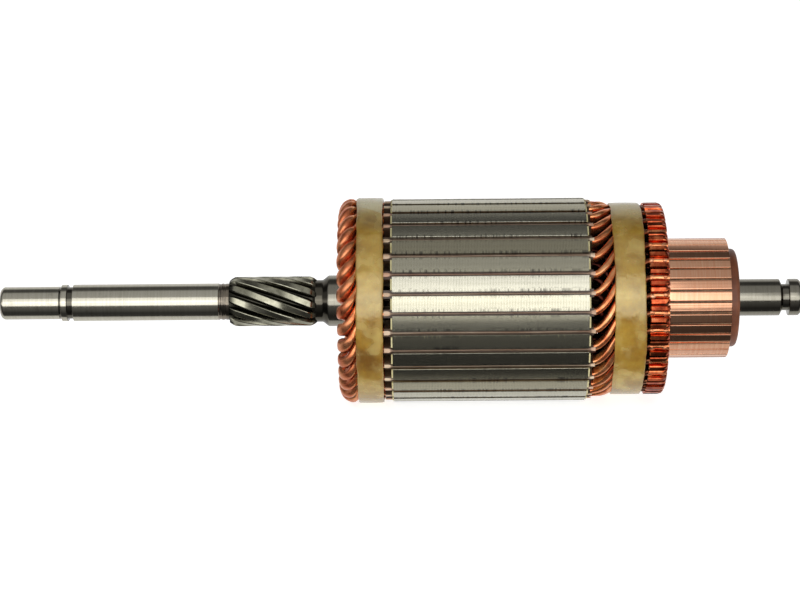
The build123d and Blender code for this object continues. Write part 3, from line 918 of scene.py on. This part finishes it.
def varnished_paper(name, dark, light, tint, shade):
    """Paper, darker by the shade where it lies inside the core's slots."""
    nodes = Nodes(name)
    x, _, turn = nodes.cylinder()
    patches = nodes.noise(350, 4, 0.6, stretch=(0.3, 1, 1))
    color = nodes.ramp(patches, [(0.3, dark), (0.7, light)])
    slot = nodes.per_pitch(turn, -TOP / PITCH + 0.5)
    color = nodes.mix(nodes.remap(slot, 0.3, 1.0, 0.0, 0.6), color, tint)
    reach = nodes.math("ABSOLUTE", x)
    inside = nodes.remap(reach, DISC_FACE, DISC_FACE + 0.4, shade, 0.0)
    color = nodes.mix(inside, color, (0.05, 0.022, 0.012))
    rough = nodes.remap(nodes.noise(1200, 3), 0.3, 0.7, 0.35, 0.6)
    return nodes.finish(color, rough, 0.0, patches, 0.3, 0.0001, Coat_Weight=0.3, Coat_Roughness=0.25)


def plain_moulding(name, dark, light, scale, rough_low, rough_high):
    nodes = Nodes(name)
    patches = nodes.noise(scale, 5, 0.6)
    color = nodes.ramp(patches, [(0.3, dark), (0.7, light)])
    rough = nodes.remap(nodes.noise(scale * 3, 3), 0.3, 0.7, rough_low, rough_high)
    return nodes.finish(color, rough, 0.0, nodes.noise(scale * 6, 3), 0.2, 0.00008)


def floor_paint():
    nodes = Nodes("floor_paint")
    cloud = nodes.noise(3, 3)
    color = nodes.ramp(cloud, [(0.3, (0.93, 0.93, 0.93)), (0.7, (0.95, 0.95, 0.95))])
    rough = nodes.remap(cloud, 0.3, 0.7, 0.7, 0.8)
    return nodes.finish(color, rough, Emission_Color=(1, 1, 1, 1), Emission_Strength=0.8)


# Camera, light and floor

CAMERA_DISTANCE = 800.0
CAMERA_ELEVATION = 10.4
CAMERA_FOOT = -19.8
AIM = Vector((-30.0, 0.0, 0.08))
ROLL = 0.6
FOCAL_PIXELS = 2350
FRAME_PIXELS = 800
SENSOR = 36.0
FLOOR_SIZE = 12.0


def make_camera():
    data = bpy.data.cameras.new("camera")
    data.sensor_width = SENSOR
    data.lens = SENSOR * FOCAL_PIXELS / FRAME_PIXELS
    data.clip_start = 0.01
    data.clip_end = 50.0
    camera = bpy.data.objects.new("camera", data)
    bpy.context.scene.collection.objects.link(camera)
    tilt = math.radians(CAMERA_ELEVATION)
    place = Vector((CAMERA_FOOT, -CAMERA_DISTANCE * math.cos(tilt), CAMERA_DISTANCE * math.sin(tilt)))
    facing = (AIM - place).to_track_quat("-Z", "Y").to_matrix().to_4x4()
    spin = Matrix.Rotation(math.radians(-ROLL), 4, "Z")
    camera.matrix_world = Matrix.Translation(place * MM) @ facing @ spin
    bpy.context.scene.camera = camera


def area_light(name, place, aim, size, power):
    data = bpy.data.lights.new(name, "AREA")
    data.shape = "RECTANGLE"
    data.size, data.size_y = size
    data.energy = power
    light = bpy.data.objects.new(name, data)
    facing = (Vector(aim) - Vector(place)).to_track_quat("-Z", "Y").to_matrix().to_4x4()
    light.matrix_world = Matrix.Translation(place) @ facing
    bpy.context.scene.collection.objects.link(light)


# Studio brightness by the angle about X: 0 is level towards the viewer's side, 90 straight up,
# 180 level behind the object and minus 90 straight down
STUDIO = (
    (-180, 0.46), (-150, 0.44), (-120, 0.40), (-94, 0.34), (-88, 0.03), (-60, 0.02), (-40, 0.05),
    (-12, 0.09), (-7, 1.0), (13, 1.0), (25, 0.48), (36, 0.42), (42, 0.25), (84, 0.21), (94, 0.05),
    (116, 0.035), (126, 0.12), (134, 0.34), (180, 0.46),
)
STUDIO_STRENGTH = 1.85
END_SHADE = 0.55  # how much dimmer the studio is past the two ends of the object


def make_world():
    """A studio of long panels beside the object, dimmer past its two ends."""
    world = bpy.data.worlds.new("studio")
    bpy.context.scene.world = world
    world.use_nodes = True
    tree = world.node_tree
    background = tree.nodes["Background"]
    coords = tree.nodes.new("ShaderNodeTexCoord")
    split = tree.nodes.new("ShaderNodeSeparateXYZ")
    tree.links.new(coords.outputs["Generated"], split.inputs[0])

    def math_node(operation, *values):
        node = tree.nodes.new("ShaderNodeMath")
        node.operation = operation
        for index, value in enumerate(values):
            if isinstance(value, bpy.types.NodeSocket):
                tree.links.new(value, node.inputs[index])
            else:
                node.inputs[index].default_value = value
        return node.outputs[0]

    turn = math_node("ARCTAN2", split.outputs[2], math_node("MULTIPLY", split.outputs[1], -1.0))
    share = math_node("ADD", math_node("DIVIDE", turn, 2 * math.pi), 0.5)
    ramp = tree.nodes.new("ShaderNodeValToRGB")
    tree.links.new(share, ramp.inputs["Fac"])
    elements = ramp.color_ramp.elements
    while len(elements) < len(STUDIO):
        elements.new(0.5)
    for element, (angle, level) in zip(elements, STUDIO):
        element.position = (angle + 180) / 360
        element.color = (level, level, level, 1)
    square = math_node("MULTIPLY", split.outputs[0], split.outputs[0])
    shade = math_node("SUBTRACT", 1.0, math_node("MULTIPLY", square, END_SHADE))
    strength = math_node("MULTIPLY", shade, STUDIO_STRENGTH)
    tree.links.new(ramp.outputs["Color"], background.inputs["Color"])
    tree.links.new(strength, background.inputs["Strength"])


def make_floor(material):
    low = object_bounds()[0][2]
    half = FLOOR_SIZE / 2
    mesh = bpy.data.meshes.new("floor")
    mesh.from_pydata([(-half, -half, low), (half, -half, low), (half, half, low), (-half, half, low)], [],
                     [(0, 1, 2, 3)])
    mesh.materials.append(material)
    floor = bpy.data.objects.new("floor", mesh)
    bpy.context.scene.collection.objects.link(floor)
    floor.visible_glossy = False
    floor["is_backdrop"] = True


def paint_nodes(material, *names):
    """Gives CAD nodes that stay a better material."""
    for name in names:
        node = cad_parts[name]
        node.data.materials.clear()
        node.data.materials.append(material)


def main():
    bpy.context.scene.view_settings.view_transform = "Standard"
    make_camera()
    make_world()
    make_floor(floor_paint())
    area_light("key", (-0.3, -1.6, 0.75), (0, 0, 0), (1.6, 0.9), 2.5)

    steel = core_steel()
    paper = varnished_paper("slot_paper", (0.42, 0.26, 0.14), (0.86, 0.72, 0.52), (0.55, 0.22, 0.13), 0.62)
    # Painted shade: a near-black copy of the slot paper, for the liners and layer insulation that lie in
    # shade inside the winding.
    shaded_paper = varnished_paper("slot_paper_shaded", (0.030, 0.016, 0.008), (0.10, 0.060, 0.030),
                                 (0.05, 0.018, 0.010), 0.3)
    fibre = plain_moulding("insulating_fibre", (0.55, 0.46, 0.20), (0.80, 0.74, 0.42), 300, 0.4, 0.6)
    mica = plain_moulding("mica", (0.10, 0.06, 0.03), (0.26, 0.17, 0.09), 500, 0.5, 0.7)
    hub = plain_moulding("hub_moulding", (0.13, 0.038, 0.013), (0.22, 0.070, 0.028), 260, 0.35, 0.5)
    resin = band_resin()
    copper = winding_copper()

    make_hairpins(copper)
    make_sheet_edges(steel)
    make_slot_seams(paper)
    make_band("drive_band_resin", *DRIVE_BAND, bore=33.32, outer=34.87, edge_play=0.5,
              surface_play=0.10, material=resin, nodes=["drive_end_band"])
    make_band("commutator_band_resin", *COMMUTATOR_BAND, bore=31.77, outer=32.57, edge_play=0.45,
              surface_play=0.08, material=resin, nodes=["commutator_end_band"])
    make_commutator(commutator_copper())
    make_solder(solder_metal())
    make_hub(hub)
    make_shaft(shaft_steel())
    make_spline(spline_steel())
    paint_nodes(steel, "lamination_stack")
    paint_nodes(shaded_paper, "slot_liners", "drive_end_layer_insulation", "commutator_end_layer_insulation")
    paint_nodes(fibre, "drive_end_insulating_disc", "commutator_end_insulating_disc")
    paint_nodes(mica, "commutator_mica")


main()
